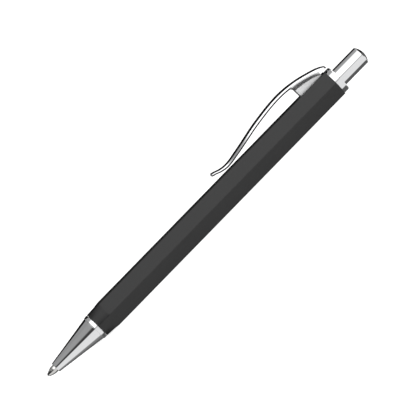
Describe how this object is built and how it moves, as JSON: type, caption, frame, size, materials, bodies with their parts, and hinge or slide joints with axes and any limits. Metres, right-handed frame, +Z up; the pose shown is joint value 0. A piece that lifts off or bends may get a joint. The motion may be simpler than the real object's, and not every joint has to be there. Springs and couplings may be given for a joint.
{
  "type": "ballpoint pen",
  "caption": "Click ballpoint pen with a hexagonal soft-touch barrel, conical chrome nose, bowed chrome pocket clip and round push button.",
  "frame": {"origin": "under the middle of the pen, on the lower flat of the barrel that it lies on", "axes": "+X along the pen from the writing tip to the button, +Y across the pen, +Z up through the clip"},
  "size_m": [0.1402, 0.0104, 0.0148],
  "materials": {
    "barrel": "black soft-touch lacquer on aluminium",
    "threaded_bushing": "turned brass",
    "nose_cone": "polished chrome plating",
    "nose_ring": "polished chrome plating",
    "rear_collar": "polished chrome plating",
    "clip": "polished chrome plating on spring steel",
    "button_cap": "polished chrome plating",
    "cam_sleeve": "natural acetal",
    "plunger": "black acetal",
    "rotor_cam": "natural acetal",
    "return_spring": "spring steel wire",
    "refill_tube": "drawn steel",
    "refill_tip": "nickel silver",
    "writing_ball": "polished carbide",
    "ink_column": "blue ink paste",
    "refill_plug": "black plastic"
  },
  "bodies": {
    "barrel": {"barrel": "barrel", "threaded_bushing": "threaded_bushing", "rear_collar": "rear_collar", "cam_sleeve": "cam_sleeve", "return_spring": "return_spring"},
    "nose": {"nose_cone": "nose_cone", "nose_ring": "nose_ring"},
    "clip": {"clip": "clip"},
    "button": {"button_cap": "button_cap", "plunger": "plunger"},
    "refill": {"refill_tube": "refill_tube", "refill_tip": "refill_tip", "ink_column": "ink_column", "refill_plug": "refill_plug", "rotor_cam": "rotor_cam"},
    "ball": {"writing_ball": "writing_ball"}
  },
  "joints": [
    {"name": "button_click", "type": "slide", "parent": "barrel", "child": "button", "axis": [1, 0, 0], "range_m": [-0.0018, 0.0055], "deforming": ["return_spring"]},
    {"name": "refill_slide", "type": "slide", "parent": "barrel", "child": "refill", "axis": [1, 0, 0], "range_m": [-0.0018, 0.0055]},
    {"name": "nose_off", "type": "slide", "parent": "barrel", "child": "nose", "axis": [-1, 0, 0], "range_m": [0, 0.03]},
    {"name": "clip_lift", "type": "hinge", "parent": "barrel", "child": "clip", "pos_m": [0.05575, 0, 0.00923], "axis": [0, 1, 0], "range_deg": [0, 2], "stiffness_Nm_per_rad": 3},
    {"name": "ball_roll", "type": "hinge", "parent": "refill", "child": "ball", "pos_m": [-0.0696, 0, 0.0046], "axis": [0, 1, 0], "continuous": true}
  ],
  "couplings": [
    {"joint": "refill_slide", "follows": "button_click", "ratio": 1}
  ]
}
